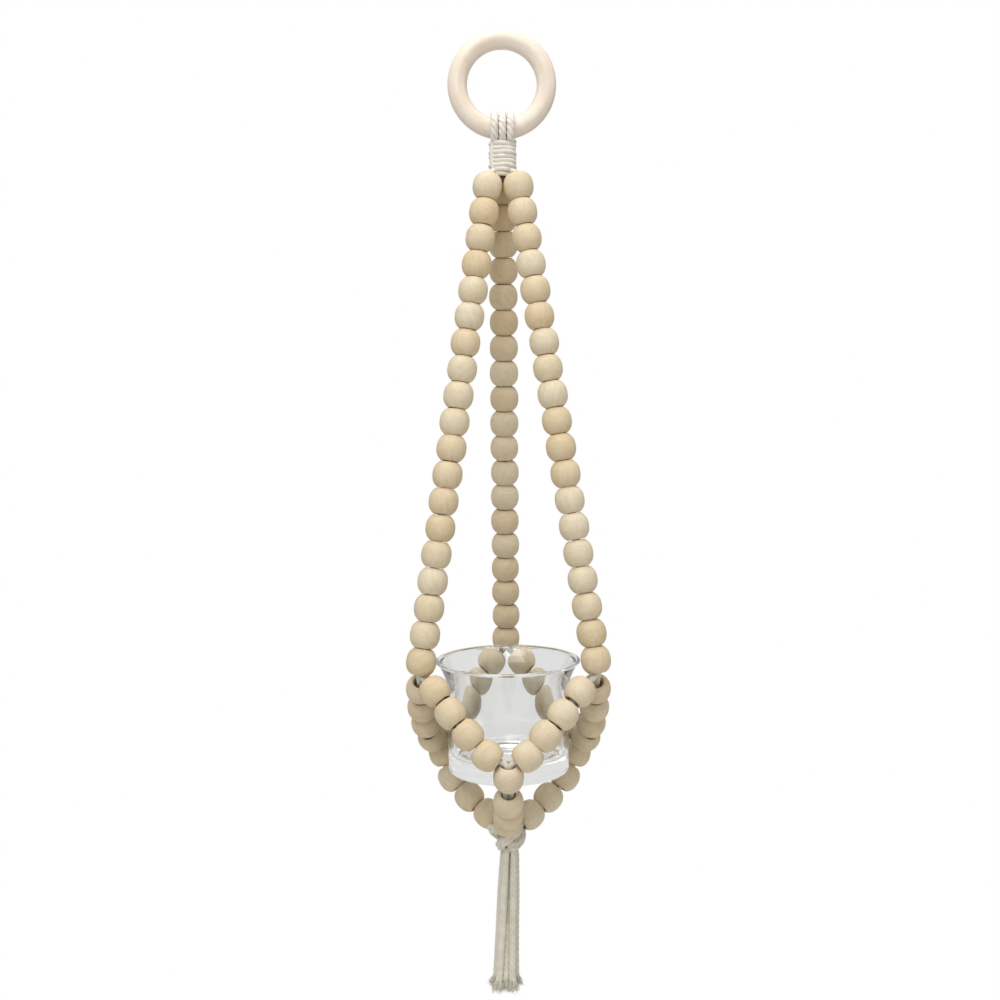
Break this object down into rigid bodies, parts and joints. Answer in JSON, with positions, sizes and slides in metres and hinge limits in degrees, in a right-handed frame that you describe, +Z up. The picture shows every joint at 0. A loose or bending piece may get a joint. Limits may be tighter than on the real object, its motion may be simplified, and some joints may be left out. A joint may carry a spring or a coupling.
{
  "type": "hanging planter",
  "caption": "Hanging planter: a wooden ring and cotton cords strung with round wooden beads, parting into a cradle round a thick glass pot, with a knot and tassel below.",
  "frame": {"origin": "hook point: the top of the ring's eye, where the hook or nail bears", "axes": "+Z up along the hanging line; the ring lies in the XZ plane; -Y is the front, where two bead strings and the front V of the cradle face"},
  "size_m": [0.1402, 0.1401, 0.6511],
  "materials": {
    "ring_wood": "sanded, unfinished pale wood",
    "bead_wood": "turned, sanded, unfinished wood",
    "cotton_cord": "natural twisted cotton, matt",
    "clear_glass": "clear pressed glass, glossy"
  },
  "bodies": {
    "ring": {"ring": "ring_wood"},
    "folds": {"cord_fold_left": "cotton_cord", "cord_fold_middle": "cotton_cord", "cord_fold_right": "cotton_cord"},
    "hanger": {"gathering_wrap": "cotton_cord", "strand_cord_back": "cotton_cord", "strand_cord_left": "cotton_cord", "strand_cord_right": "cotton_cord", "leg_bead_back_left_1": "bead_wood", "leg_bead_back_left_2": "bead_wood", "leg_bead_back_left_3": "bead_wood", "leg_bead_back_left_4": "bead_wood", "leg_bead_back_right_1": "bead_wood", "leg_bead_back_right_2": "bead_wood", "leg_bead_back_right_3": "bead_wood", "leg_bead_back_right_4": "bead_wood", "leg_bead_left_front_1": "bead_wood", "leg_bead_left_front_2": "bead_wood", "leg_bead_left_front_3": "bead_wood", "leg_bead_left_front_4": "bead_wood", "leg_bead_left_side_1": "bead_wood", "leg_bead_left_side_2": "bead_wood", "leg_bead_left_side_3": "bead_wood", "leg_bead_left_side_4": "bead_wood", "leg_bead_right_side_1": "bead_wood", "leg_bead_right_side_2": "bead_wood", "leg_bead_right_side_3": "bead_wood", "leg_bead_right_side_4": "bead_wood", "leg_bead_right_front_1": "bead_wood", "leg_bead_right_front_2": "bead_wood", "leg_bead_right_front_3": "bead_wood", "leg_bead_right_front_4": "bead_wood", "junction_bead_front": "bead_wood", "junction_bead_left": "bead_wood", "junction_bead_right": "bead_wood", "lower_cord_front": "cotton_cord", "lower_cord_left": "cotton_cord", "lower_cord_right": "cotton_cord", "lower_bead_front_1": "bead_wood", "lower_bead_front_2": "bead_wood", "lower_bead_front_3": "bead_wood", "lower_bead_left_1": "bead_wood", "lower_bead_left_2": "bead_wood", "lower_bead_left_3": "bead_wood", "lower_bead_right_1": "bead_wood", "lower_bead_right_2": "bead_wood", "lower_bead_right_3": "bead_wood", "gather_knot": "cotton_cord"},
    "beads_back": {"strand_beads_back": "bead_wood"},
    "beads_left": {"strand_beads_left": "bead_wood"},
    "beads_right": {"strand_beads_right": "bead_wood"},
    "pot": {"glass_pot": "clear_glass"},
    "tassel": {"tassel_cord_1": "cotton_cord", "tassel_cord_2": "cotton_cord", "tassel_cord_3": "cotton_cord", "tassel_cord_4": "cotton_cord", "tassel_cord_5": "cotton_cord", "tassel_cord_6": "cotton_cord"}
  },
  "joints": [
    {"name": "ring_turn", "type": "hinge", "parent": "ring", "child": "folds", "pos_m": [0, 0, -0.0235], "axis": [0, 1, 0], "continuous": true},
    {"name": "ring_tip", "type": "hinge", "parent": "folds", "child": "hanger", "pos_m": [0, 0, -0.0535], "axis": [1, 0, 0], "range_deg": [-90, 90]},
    {"name": "pot_lift", "type": "slide", "parent": "hanger", "child": "pot", "axis": [0, 0, 1], "range_m": [0, 0.03]},
    {"name": "strand_back_spin", "type": "hinge", "parent": "hanger", "child": "beads_back", "pos_m": [0, 0.01201, -0.09244], "axis": [0, -0.1694, 0.9855], "continuous": true},
    {"name": "strand_left_spin", "type": "hinge", "parent": "hanger", "child": "beads_left", "pos_m": [-0.0104, -0.006, -0.09244], "axis": [0.1467, 0.0847, 0.9855], "continuous": true},
    {"name": "strand_right_spin", "type": "hinge", "parent": "hanger", "child": "beads_right", "pos_m": [0.0104, -0.006, -0.09244], "axis": [-0.1467, 0.0847, 0.9855], "continuous": true},
    {"name": "tassel_swing", "type": "hinge", "parent": "hanger", "child": "tassel", "pos_m": [0, 0, -0.54037], "axis": [1, 0, 0], "range_deg": [-30, 30]}
  ]
}
